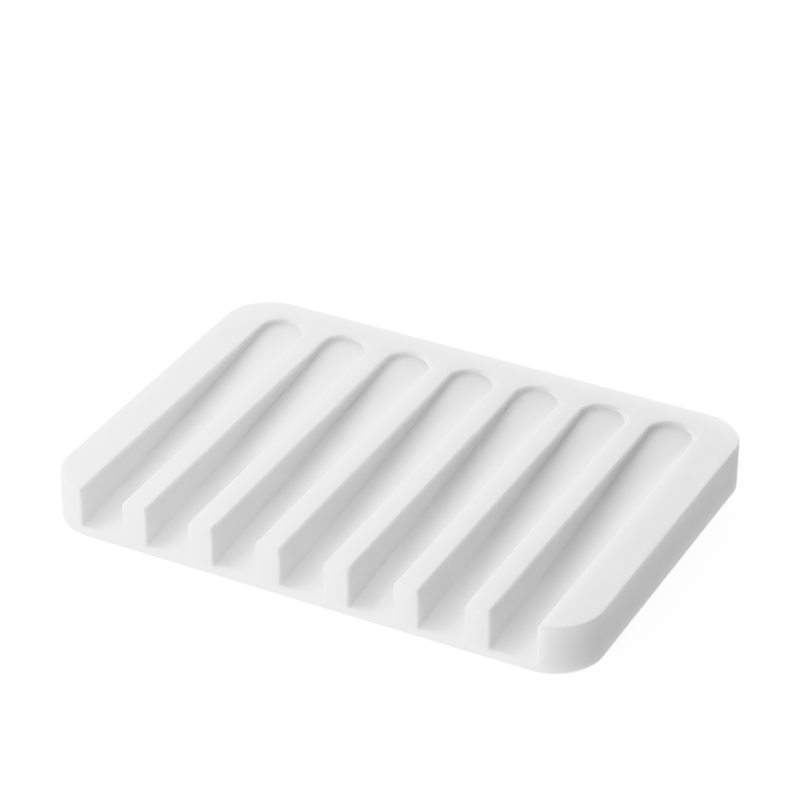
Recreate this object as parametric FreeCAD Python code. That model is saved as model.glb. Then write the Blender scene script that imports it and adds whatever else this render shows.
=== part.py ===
import FreeCAD, Part
import os

# Self-draining silicone soap tray: one soft moulding, a thin rounded slab with
# parallel ribs. The soap rests on the ribs and the water runs down the sloping
# groove floors and out over the open front edge.
#
# Frame: origin at the centre of the underside, +X along the long front edge
# towards the right, +Y from the open front edge to the closed back, +Z up.
# All sizes are in millimetres.

# Driving dimensions
WIDTH = 130.0
DEPTH = 92.6
HEIGHT = 11.5
CORNER_RADIUS = 11.5
GROOVE_COUNT = 7
GROOVE_PITCH = 16.5
GROOVE_WIDTH = 10.5
BACK_RIM = 7.2
LIP_THICKNESS = 2.0
BACK_GROOVE_DEPTH = 0.8
RIB_EDGE_RADIUS = 0.8
FLOOR_EDGE_RADIUS = 0.4
OUTER_EDGE_RADIUS = 0.6
BOTTOM_EDGE_RADIUS = 0.2

# Derived places
FRONT_Y = -DEPTH / 2
BACK_Y = DEPTH / 2
END_RADIUS = GROOVE_WIDTH / 2
GROOVE_BACK_Y = BACK_Y - BACK_RIM
GROOVE_CENTRES = [GROOVE_PITCH * (k - (GROOVE_COUNT - 1) / 2) for k in range(GROOVE_COUNT)]

# Allowances
OVERRUN = 5.0  # how far a cutter or an untrimmed slab stands out
TOLERANCE = 1e-4


def vec(x, y, z):
    return FreeCAD.Vector(x, y, z)


def floor_height(y):
    """The groove floor climbs in a straight line from the lip to the back end."""
    climb = HEIGHT - BACK_GROOVE_DEPTH - LIP_THICKNESS
    return LIP_THICKNESS + climb * (y - FRONT_Y) / (GROOVE_BACK_Y - FRONT_Y)


def groove_plan():
    """A groove seen from above: open past the front, round at the back end."""
    centre_y = GROOVE_BACK_Y - END_RADIUS
    start_y = FRONT_Y - 2 * OVERRUN
    left, right = -END_RADIUS, END_RADIUS
    outline = [
        Part.makeLine(vec(left, start_y, 0), vec(right, start_y, 0)),
        Part.makeLine(vec(right, start_y, 0), vec(right, centre_y, 0)),
        Part.Arc(vec(right, centre_y, 0), vec(0, GROOVE_BACK_Y, 0), vec(left, centre_y, 0)).toShape(),
        Part.makeLine(vec(left, centre_y, 0), vec(left, start_y, 0)),
    ]
    return Part.Face(Part.Wire(outline))


def below_floor():
    """Everything under the sloping groove floor, as one long wedge."""
    near_y, far_y = FRONT_Y - 3 * OVERRUN, BACK_Y + OVERRUN
    side = [
        vec(-GROOVE_WIDTH, near_y, -2 * OVERRUN),
        vec(-GROOVE_WIDTH, far_y, -2 * OVERRUN),
        vec(-GROOVE_WIDTH, far_y, floor_height(far_y)),
        vec(-GROOVE_WIDTH, near_y, floor_height(near_y)),
    ]
    face = Part.Face(Part.makePolygon(side + side[:1]))
    return face.extrude(vec(2 * GROOVE_WIDTH, 0, 0))


def groove_cutter():
    """The space of one groove, standing above the slab, with a softened floor edge."""
    prism = groove_plan().extrude(vec(0, 0, HEIGHT + OVERRUN))
    cutter = prism.cut(below_floor()).removeSplitter()
    foot = [e for e in cutter.Edges if runs_round_floor(e)]
    return cutter.makeFillet(FLOOR_EDGE_RADIUS, foot)


def runs_round_floor(edge):
    """True for the edges where a groove's walls meet its floor."""
    points = [edge.valueAt(edge.FirstParameter + t * (edge.LastParameter - edge.FirstParameter))
              for t in (0.0, 0.5, 1.0)]
    on_floor = all(abs(p.z - floor_height(p.y)) < TOLERANCE for p in points)
    across_front = all(p.y < FRONT_Y - OVERRUN for p in points)
    return on_floor and not across_front


def ribbed_slab():
    """An untrimmed slab, larger all round than the tray, with its grooves and rounded ribs."""
    corner = vec(-WIDTH / 2 - OVERRUN, FRONT_Y - OVERRUN, 0)
    slab = Part.makeBox(WIDTH + 2 * OVERRUN, DEPTH + 2 * OVERRUN, HEIGHT, corner)
    cutter = groove_cutter()
    slab = slab.cut([cutter.translated(vec(x, 0, 0)) for x in GROOVE_CENTRES])
    return slab.makeFillet(RIB_EDGE_RADIUS, [e for e in slab.Edges if is_rib_edge(e)])


def is_rib_edge(edge):
    """True for the edges in the top face that run round a groove."""
    box = edge.BoundBox
    on_top = box.ZMin > HEIGHT - TOLERANCE
    crosses_tray = box.YMax > FRONT_Y and box.XMin > -WIDTH / 2 and box.XMax < WIDTH / 2
    return on_top and crosses_tray


def outline_block():
    """The block that bounds the tray, with upright walls and four rounded corners."""
    block = Part.makeBox(WIDTH, DEPTH, HEIGHT, vec(-WIDTH / 2, FRONT_Y, 0))
    corners = [e for e in block.Edges if is_upright(e)]
    return block.makeFillet(CORNER_RADIUS, corners)


def is_upright(edge):
    """True for an edge that runs straight up."""
    box = edge.BoundBox
    return box.XLength < TOLERANCE and box.YLength < TOLERANCE


def is_outer_edge(edge, walls):
    """True for the edges where the outer walls meet the top, the ribs and the groove floors."""
    middle = Part.Vertex(edge.valueAt((edge.FirstParameter + edge.LastParameter) / 2))
    on_wall = walls.distToShape(middle)[0] < TOLERANCE
    return on_wall and edge.BoundBox.ZMin > TOLERANCE


def is_bottom_edge(edge):
    """True for the edges round the underside."""
    return edge.BoundBox.ZMax < TOLERANCE


def soap_tray():
    block = outline_block()
    walls = Part.Compound([f for f in block.Faces if f.BoundBox.ZLength > TOLERANCE])
    body = ribbed_slab().common(block).removeSplitter()
    outer = [e for e in body.Edges if is_outer_edge(e, walls)]
    body = body.makeFillet(OUTER_EDGE_RADIUS, outer)
    bottom = [e for e in body.Edges if is_bottom_edge(e)]
    return body.makeFillet(BOTTOM_EDGE_RADIUS, bottom)


def main():
    os.makedirs("parts", exist_ok=True)
    tray = soap_tray()
    print("valid", tray.isValid(), "solids", len(tray.Solids), "volume cm3", tray.Volume / 1000)
    tray.exportStep("parts/soap_tray.step")


main()
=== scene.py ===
import math

import bpy
import numpy as np
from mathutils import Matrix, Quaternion, Vector


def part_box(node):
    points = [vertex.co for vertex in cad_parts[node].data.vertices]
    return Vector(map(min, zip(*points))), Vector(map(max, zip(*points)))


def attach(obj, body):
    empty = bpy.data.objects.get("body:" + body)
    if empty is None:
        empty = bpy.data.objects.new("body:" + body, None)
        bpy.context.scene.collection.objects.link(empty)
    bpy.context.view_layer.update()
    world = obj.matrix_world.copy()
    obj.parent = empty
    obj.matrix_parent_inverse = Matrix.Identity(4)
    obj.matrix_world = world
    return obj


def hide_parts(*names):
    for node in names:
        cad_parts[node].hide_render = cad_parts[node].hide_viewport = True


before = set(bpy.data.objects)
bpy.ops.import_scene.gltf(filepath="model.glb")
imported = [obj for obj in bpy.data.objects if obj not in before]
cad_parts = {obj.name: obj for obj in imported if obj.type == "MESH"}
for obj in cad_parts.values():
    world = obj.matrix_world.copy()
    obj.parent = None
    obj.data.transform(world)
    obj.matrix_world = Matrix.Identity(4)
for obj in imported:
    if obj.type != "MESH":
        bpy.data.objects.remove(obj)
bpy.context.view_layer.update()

# A self-draining soap tray, moulded in one piece from white silicone. The mesh is
# the zero level of a distance function that describes the moulding: a rounded slab,
# less seven grooves whose floors climb from the open front edge to their round
# back ends. Everything is in metres, in the frame of the CAD model.

MM = 0.001

# Outer size, from the CAD model
LOW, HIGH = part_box("soap_tray")
FRONT_Y, BACK_Y = LOW.y, HIGH.y
HEIGHT = HIGH.z
HALF_WIDTH = HIGH.x

# Details of the moulding
CORNER_RADIUS = 11.5 * MM
GROOVE_COUNT = 7
GROOVE_PITCH = 16.5 * MM
GROOVE_HALF = 5.25 * MM
BACK_RIM = 7.2 * MM
LIP_THICKNESS = 2.0 * MM
BACK_GROOVE_DEPTH = 0.8 * MM
RIB_EDGE_RADIUS = 0.8 * MM
FLOOR_EDGE_RADIUS = 0.4 * MM
OUTER_EDGE_RADIUS = 0.6 * MM
BOTTOM_EDGE_RADIUS = 0.2 * MM

GROOVE_BACK_Y = BACK_Y - BACK_RIM
END_CENTRE_Y = GROOVE_BACK_Y - GROOVE_HALF
LAST_GROOVE = (GROOVE_COUNT - 1) / 2
FLOOR_CLIMB = (HEIGHT - BACK_GROOVE_DEPTH - LIP_THICKNESS) / (GROOVE_BACK_Y - FRONT_Y)
FLOOR_COSINE = 1 / math.hypot(1, FLOOR_CLIMB)


# ---- the shape, as a distance that is negative inside the silicone ----


def rounded_overlap(distances, radius):
    """The distance to the space inside all the given faces, its edges rounded to radius."""
    raised = np.stack([d + radius for d in distances])
    beyond = np.sqrt((np.maximum(raised, 0) ** 2).sum(0))
    return beyond + np.minimum(raised.max(0), 0) - radius


def outline_distance(x, y):
    """Distance from the tray's outline in plan, a rectangle with round corners."""
    across = np.abs(x) - (HALF_WIDTH - CORNER_RADIUS)
    along = np.abs(y) - (BACK_Y - CORNER_RADIUS)
    corner = np.hypot(np.maximum(across, 0), np.maximum(along, 0))
    return corner + np.minimum(np.maximum(across, along), 0) - CORNER_RADIUS


def floor_height(y):
    return LIP_THICKNESS + FLOOR_CLIMB * (y - FRONT_Y)


def groove_distance(x, y, z):
    """Distance from the air in the nearest groove, with a small radius where its floor starts."""
    nearest = np.clip(np.round(x / GROOVE_PITCH), -LAST_GROOVE, LAST_GROOVE)
    side = x - nearest * GROOVE_PITCH
    wall = np.hypot(side, np.maximum(y - END_CENTRE_Y, 0)) - GROOVE_HALF
    floor = (floor_height(y) - z) * FLOOR_COSINE
    return rounded_overlap((wall, floor), FLOOR_EDGE_RADIUS)


def tray_distance(points):
    x, y, z = points[..., 0], points[..., 1], points[..., 2]
    ribbed = rounded_overlap((z - HEIGHT, -groove_distance(x, y, z)), RIB_EDGE_RADIUS)
    trimmed = rounded_overlap((outline_distance(x, y), ribbed), OUTER_EDGE_RADIUS)
    return rounded_overlap((trimmed, -z), BOTTOM_EDGE_RADIUS)


def slope(points, step=0.01 * MM):
    """The gradient of the distance, which on the surface is its outward normal."""
    axes = np.eye(3) * step
    return np.stack(
        [(tray_distance(points + a) - tray_distance(points - a)) / (2 * step) for a in axes], -1
    )


# ---- the grid that the surface is drawn on: fine at the edges, wide on the flats ----

FINE, MEDIUM, WIDE = 0.2 * MM, 0.6 * MM, 1.6 * MM
MARGIN = FINE / 2  # keeps every flat face halfway between two grid lines
EDGE_REACH = 1.3 * MM  # how far in from a face the fine steps go
FOOT_REACH = 0.5 * MM
END_REACH = 2.5 * MM  # a groove's round end also needs fair steps across its floor

# Heights of the fine layers: above the underside, above the groove floor and below the top
BOTTOM_LAYERS = np.array([-0.05, 0.05, 0.12, 0.22, 0.4, 0.7]) * MM
FLOOR_LAYERS = np.array([0.1, 0.25, 0.4, 0.6]) * MM
TOP_LAYERS = np.array([1.2, 0.95, 0.75, 0.55, 0.4, 0.25, 0.1]) * MM
LAYERS_UNDER_FLOOR = 6
LAYERS_UP_WALL = 4
SQUEEZED_BELOW = 2.4 * MM  # where a groove is shallower than this, its layers move closer together


def graded(start, end, zones):
    """Grid positions from start to end: wide steps, and finer ones in each zone (low, high, step)."""
    lines = [start]
    for low, high, step in [*sorted(zones), (end, end, FINE)]:
        for stop, size in ((low, WIDE), (high, step)):
            begin = lines[-1]
            count = math.ceil((stop - begin) / size - 0.01)
            lines += [begin + (stop - begin) * (i + 1) / count for i in range(count)]
    return np.array(lines)


def lines_across():
    """Grid positions along X, from the left side to the right."""
    zones = []
    for k in range(GROOVE_COUNT):
        centre = (k - LAST_GROOVE) * GROOVE_PITCH
        for side in (-1, 1):
            wall = centre + side * GROOVE_HALF
            fine = sorted((wall + side * EDGE_REACH, wall - side * FOOT_REACH))
            fair = sorted((wall - side * FOOT_REACH, wall - side * END_REACH))
            zones += [(*fine, FINE), (*fair, MEDIUM)]
    last_wall = LAST_GROOVE * GROOVE_PITCH + GROOVE_HALF + EDGE_REACH
    rim = HALF_WIDTH - EDGE_REACH
    outside = HALF_WIDTH + MARGIN
    zones += [(last_wall, rim, MEDIUM), (rim, outside, FINE)]
    zones += [(-rim, -last_wall, MEDIUM), (-outside, -rim, FINE)]
    return graded(-outside, outside, zones)


def lines_along():
    """Grid positions along Y, from the open front to the back."""
    front, back = FRONT_Y + EDGE_REACH, BACK_Y - EDGE_REACH
    end_low, end_high = GROOVE_BACK_Y - EDGE_REACH, GROOVE_BACK_Y + EDGE_REACH
    zones = [
        (FRONT_Y - MARGIN, front, FINE),
        (front, FRONT_Y + CORNER_RADIUS, MEDIUM),
        (END_CENTRE_Y, end_low, MEDIUM),
        (end_low, end_high, FINE),
        (end_high, back, MEDIUM),
        (back, BACK_Y + MARGIN, FINE),
    ]
    return graded(FRONT_Y - MARGIN, BACK_Y + MARGIN, zones)


def layers(y):
    """Heights of the grid's layers over each y, which follow the climbing groove floor."""
    floor = np.clip(floor_height(y), LIP_THICKNESS, HEIGHT - BACK_GROOVE_DEPTH)
    depth = HEIGHT - floor
    squeeze = np.minimum(depth / SQUEEZED_BELOW, 1)
    rows = [np.full_like(y, z) for z in BOTTOM_LAYERS]
    under_floor = floor - MARGIN - BOTTOM_LAYERS[-1]
    rows += [rows[-1] + under_floor * i / LAYERS_UNDER_FLOOR for i in range(1, LAYERS_UNDER_FLOOR + 1)]
    rows += [floor + squeeze * z for z in FLOOR_LAYERS]
    wall_low, wall_high = rows[-1], HEIGHT - squeeze * TOP_LAYERS[0]
    rows += [wall_low + (wall_high - wall_low) * i / LAYERS_UP_WALL for i in range(1, LAYERS_UP_WALL)]
    rows += [HEIGHT - squeeze * z for z in TOP_LAYERS]
    rows += [np.full_like(y, HEIGHT + MARGIN)]
    return np.stack(rows, -1)


def grid_points():
    x, y = lines_across(), lines_along()
    z = layers(y)
    shape = (len(x), *z.shape)
    points = (x[:, None, None], y[None, :, None], z[None])
    return np.stack([np.broadcast_to(c, shape) for c in points], -1)


# ---- the surface through the grid: a vertex in each crossed cell, a quad round each crossed edge ----


def surface_net(points, values):
    """Vertices and outward quads of the surface where values go from negative to positive."""
    solid = values < 0
    cell_shape = np.array(solid.shape) - 1
    total = np.zeros((*cell_shape, 3))
    count = np.zeros(cell_shape, int)
    rings = []
    for axis in range(3):
        step, turn_a, turn_b = np.roll(np.eye(3, dtype=int), axis, 0)
        low = solid[tuple(slice(0, n - s) for n, s in zip(solid.shape, step))]
        high = solid[tuple(slice(s, n) for n, s in zip(solid.shape, step))]
        start = np.argwhere(low != high)
        begin, end = tuple(start.T), tuple((start + step).T)
        share = values[begin] / (values[begin] - values[end])
        crossing = points[begin] + (points[end] - points[begin]) * share[:, None]
        ring = [start - turn_a - turn_b, start - turn_b, start, start - turn_a]
        for cell in ring:
            np.add.at(total, tuple(cell.T), crossing)
            np.add.at(count, tuple(cell.T), 1)
        numbers = [np.ravel_multi_index(tuple(cell.T), tuple(cell_shape)) for cell in ring]
        corners = np.stack(numbers, -1)
        inward = ~solid[begin]
        corners[inward] = corners[inward, ::-1]
        rings.append(corners)
    used = count > 0
    number = np.cumsum(used.ravel()) - 1
    return total[used] / count[used][:, None], number[np.concatenate(rings)]


def settle(points, rounds=5):
    """Moves points onto the surface along the slope of the distance."""
    for _ in range(rounds):
        gradient = slope(points)
        size = (gradient**2).sum(-1, keepdims=True)
        points = points - gradient * tray_distance(points)[:, None] / size
    return points


def tray_piece():
    points = grid_points()
    vertices, quads = surface_net(points, tray_distance(points))
    vertices = settle(vertices)
    normals = slope(vertices)
    normals /= np.linalg.norm(normals, axis=-1, keepdims=True)
    mesh = bpy.data.meshes.new("soap_tray_silicone")
    mesh.from_pydata(vertices.tolist(), [], quads.tolist())
    mesh.validate()
    mesh.shade_smooth()
    mesh.normals_split_custom_set_from_vertices(normals.tolist())
    piece = bpy.data.objects.new("soap_tray_silicone", mesh)
    bpy.context.scene.collection.objects.link(piece)
    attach(piece, "root")
    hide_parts("soap_tray")
    return piece


# ---- material ----

WHITENESS = 0.908
SCATTER_DEPTH = 3.0 * MM  # how far light wanders inside the silicone
REFRACTION = 1.41
CLOUD_SIZE, CLOUD_SHARE = 12 * MM, 0.016
SPECK_SIZE, SPECK_SHARE = 0.3 * MM, 0.012
SHEEN_SIZE = 4 * MM
SMOOTH, ROUGH = 0.46, 0.58
GRAIN_SIZE, GRAIN_DEPTH = 0.24 * MM, 0.02 * MM
WAVE_SIZE, WAVE_DEPTH = 6 * MM, 0.03 * MM
WORN_GRAIN = 0.5  # the rib tops are smoother than the grooves and walls
WORN_ZONE = 0.6 * MM
NOISE_RANGE = (0.3, 0.7)  # where nearly all of a noise's values lie


def noise(tree, place, size, detail=2):
    """A noise of about 0 to 1 whose features have the given size."""
    texture = tree.nodes.new("ShaderNodeTexNoise")
    texture.inputs["Scale"].default_value = 1 / size
    texture.inputs["Detail"].default_value = detail
    tree.links.new(place, texture.inputs["Vector"])
    return texture.outputs[0]


def mapped(tree, value, source, target):
    """A value taken from the source range to the target range."""
    node = tree.nodes.new("ShaderNodeMapRange")
    for name, number in zip(("From Min", "From Max", "To Min", "To Max"), (*source, *target)):
        node.inputs[name].default_value = number
    tree.links.new(value, node.inputs["Value"])
    return node.outputs["Result"]


def product(tree, first, second):
    node = tree.nodes.new("ShaderNodeMath")
    node.operation = "MULTIPLY"
    tree.links.new(first, node.inputs[0])
    tree.links.new(second, node.inputs[1])
    return node.outputs[0]


def bump(tree, height, depth, strength=None, below=None):
    """Relief of the given depth, laid over the relief below it."""
    node = tree.nodes.new("ShaderNodeBump")
    node.inputs["Distance"].default_value = depth
    tree.links.new(height, node.inputs["Height"])
    if strength:
        tree.links.new(strength, node.inputs["Strength"])
    if below:
        tree.links.new(below, node.inputs["Normal"])
    return node.outputs["Normal"]


def silicone():
    """White matte silicone: light scatters inside it, and its surface has a fine sand-blasted grain."""
    material = bpy.data.materials.new("white_silicone")
    material.use_nodes = True
    tree = material.node_tree
    place = tree.nodes.new("ShaderNodeTexCoord").outputs["Object"]
    height = tree.nodes.new("ShaderNodeSeparateXYZ")
    tree.links.new(place, height.inputs[0])

    cloud_range = (1 - CLOUD_SHARE, 1)
    speck_range = (1 - SPECK_SHARE / 2, 1 + SPECK_SHARE / 2)
    cloud = mapped(tree, noise(tree, place, CLOUD_SIZE), NOISE_RANGE, cloud_range)
    speck = mapped(tree, noise(tree, place, SPECK_SIZE), NOISE_RANGE, speck_range)
    colour = mapped(tree, product(tree, cloud, speck), (0, 1), (0, WHITENESS))
    roughness = mapped(tree, noise(tree, place, SHEEN_SIZE), NOISE_RANGE, (SMOOTH, ROUGH))
    wear_range = (HEIGHT - WORN_ZONE, HEIGHT)
    grain_strength = mapped(tree, height.outputs["Z"], wear_range, (1, WORN_GRAIN))
    waves = bump(tree, noise(tree, place, WAVE_SIZE, 1), WAVE_DEPTH)
    grain = bump(tree, noise(tree, place, GRAIN_SIZE), GRAIN_DEPTH, grain_strength, waves)

    surface = tree.nodes["Principled BSDF"]
    surface.subsurface_method = "RANDOM_WALK"
    surface.inputs["IOR"].default_value = REFRACTION
    surface.inputs["Subsurface Weight"].default_value = 1.0
    surface.inputs["Subsurface Radius"].default_value = (1, 1, 1)
    surface.inputs["Subsurface Scale"].default_value = SCATTER_DEPTH
    tree.links.new(colour, surface.inputs["Base Color"])
    tree.links.new(roughness, surface.inputs["Roughness"])
    tree.links.new(grain, surface.inputs["Normal"])
    return material


# ---- floor, light and camera ----

CAMERA_AIM = Vector((-0.0147, 0.02725, 0.006))
CAMERA_AZIMUTH, CAMERA_ELEVATION, CAMERA_ROLL = 27.311, 31.508, 0.151
CAMERA_DISTANCE = 0.7626
CAMERA_LENS = 149.42

FLOOR_REACH = 4.0
FLOOR_GAP = 0.1 * MM  # keeps the underside out of the floor's own plane
FLOOR_WHITE = 0.15
FLOOR_GLOW = 0.73  # the floor is a light table, which fills the shadows
FLOOR_GLOW_SEEN = 1.1

# The camera's response: a light and the brightness that it is shown with
RESPONSE_STRAIGHT_TO = 0.7
SHOULDER = (0.84, 0.838)
OVERLIT_WHITE = (1.0, 0.885)
BURNT_OUT = 1.2  # from here up everything is pure white

# Round softboxes that look at the tray: azimuth, elevation, distance, width, watts
SOFTBOXES = {
    "key": (-60, 42, 1.2, 0.9, 3.85),
    "back_low": (180, 20, 1.2, 0.9, 7.8),
    "back_wide": (180, 30, 1.5, 2.2, 8.9),
    "fill": (60, 66, 1.2, 0.9, 1.0),
    "panel_left": (-90, 25, 0.45, 0.3, 0.65),
    "panel_front": (0, 25, 0.45, 0.3, 0.69),
    "panel_corner": (-60, 50, 0.45, 0.3, 0.32),
}


def from_angles(azimuth, elevation):
    """The direction out towards a viewer: azimuth 0 stands in front of the tray, 90 at its right."""
    a, e = math.radians(azimuth), math.radians(elevation)
    return Vector((math.sin(a) * math.cos(e), -math.cos(a) * math.cos(e), math.sin(e)))


def make_camera():
    data = bpy.data.cameras.new("camera")
    data.lens = CAMERA_LENS
    camera = bpy.data.objects.new("camera", data)
    bpy.context.scene.collection.objects.link(camera)
    back = from_angles(CAMERA_AZIMUTH, CAMERA_ELEVATION)
    camera.location = CAMERA_AIM + back * CAMERA_DISTANCE
    camera.rotation_mode = "QUATERNION"
    roll = Quaternion((0, 0, 1), math.radians(CAMERA_ROLL))
    camera.rotation_quaternion = back.to_track_quat("Z", "Y") @ roll
    bpy.context.scene.camera = camera


def seen_or_lit(tree, seen, lit):
    """A strength for what the camera sees, and another for the light that it gives."""
    path = tree.nodes.new("ShaderNodeLightPath")
    return mapped(tree, path.outputs["Is Camera Ray"], (0, 1), (lit, seen))


def make_floor():
    mesh = bpy.data.meshes.new("floor")
    sides = ((-1, -1), (1, -1), (1, 1), (-1, 1))
    corners = [(x * FLOOR_REACH, y * FLOOR_REACH, -FLOOR_GAP) for x, y in sides]
    mesh.from_pydata(corners, [], [(0, 1, 2, 3)])
    floor = bpy.data.objects.new("floor", mesh)
    bpy.context.scene.collection.objects.link(floor)
    material = bpy.data.materials.new("floor_white")
    material.use_nodes = True
    tree = material.node_tree
    surface = tree.nodes["Principled BSDF"]
    surface.inputs["Base Color"].default_value = (FLOOR_WHITE, FLOOR_WHITE, FLOOR_WHITE, 1)
    surface.inputs["Specular IOR Level"].default_value = 0.0
    surface.inputs["Emission Color"].default_value = (1, 1, 1, 1)
    glow = seen_or_lit(tree, FLOOR_GLOW_SEEN, FLOOR_GLOW)
    tree.links.new(glow, surface.inputs["Emission Strength"])
    mesh.materials.append(material)


def make_lights():
    """Soft light from behind and from the left, with three small panels close to the tray."""
    for name, (azimuth, elevation, distance, width, watts) in SOFTBOXES.items():
        data = bpy.data.lights.new(name, "AREA")
        data.shape = "DISK"
        data.size = width
        data.energy = watts
        lamp = bpy.data.objects.new(name, data)
        bpy.context.scene.collection.objects.link(lamp)
        back = from_angles(azimuth, elevation)
        lamp.location = back * distance
        lamp.rotation_mode = "QUATERNION"
        lamp.rotation_quaternion = back.to_track_quat("Z", "Y")


def make_backdrop():
    """Pure white behind everything, for the camera only: the softboxes and the floor give the light."""
    world = bpy.data.worlds.new("studio")
    bpy.context.scene.world = world
    world.use_nodes = True
    tree = world.node_tree
    backdrop = tree.nodes["Background"]
    backdrop.inputs["Color"].default_value = (1, 1, 1, 1)
    tree.links.new(seen_or_lit(tree, BURNT_OUT, 0), backdrop.inputs["Strength"])


def set_response():
    """Shows light as it is up to a light grey, then gentler, so that lit white keeps its shading."""
    view = bpy.context.scene.view_settings
    view.view_transform = "Standard"
    view.use_curve_mapping = True
    view.curve_mapping.clip_max_x = BURNT_OUT
    curve = view.curve_mapping.curves[3]
    curve.points[-1].location = (BURNT_OUT, 1)
    curve.points.new(RESPONSE_STRAIGHT_TO, RESPONSE_STRAIGHT_TO).handle_type = "VECTOR"
    curve.points.new(*SHOULDER)
    curve.points.new(*OVERLIT_WHITE)
    view.curve_mapping.update()


tray = tray_piece()
tray.data.materials.append(silicone())
make_floor()
make_camera()
make_lights()
make_backdrop()
set_response()
